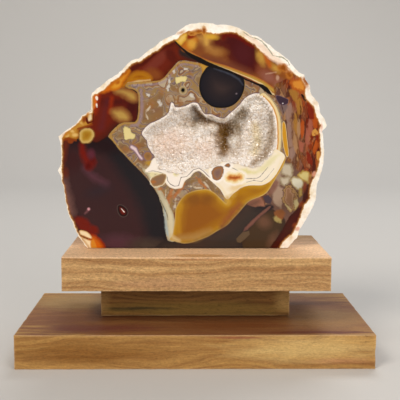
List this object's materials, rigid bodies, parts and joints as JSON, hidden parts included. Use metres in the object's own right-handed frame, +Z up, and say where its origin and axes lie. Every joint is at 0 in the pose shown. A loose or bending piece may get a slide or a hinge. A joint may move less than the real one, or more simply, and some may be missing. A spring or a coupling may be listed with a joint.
{
  "type": "agate geode on a wooden stand",
  "caption": "Sawn and polished agate geode half with a crystal-lined hollow and rough rind, standing on its flat foot on a stacked wooden board stand.",
  "frame": {"origin": "centre of the base board's underside, where the stand rests on a table", "axes": "+Z up, the polished sawn face looks towards -Y, +X to the right as the face is seen, along the boards' length and grain"},
  "size_m": [0.206, 0.1014, 0.1973],
  "materials": {
    "agate": "polished to a gloss on the sawn face, chalky and rough on the natural rind",
    "quartz_druse": "small milky quartz points with glassy faces, lining the hollow",
    "upper_board_wood": "planed light tan hardwood, satin oiled",
    "spacer_wood": "planed tan hardwood, matt",
    "base_board_wood": "planed golden tan hardwood with darker red-brown streaks, satin oiled"
  },
  "bodies": {
    "root": {"agate_geode": "agate", "upper_board": "upper_board_wood", "spacer_strip": "spacer_wood", "base_board": "base_board_wood"}
  },
  "joints": []
}
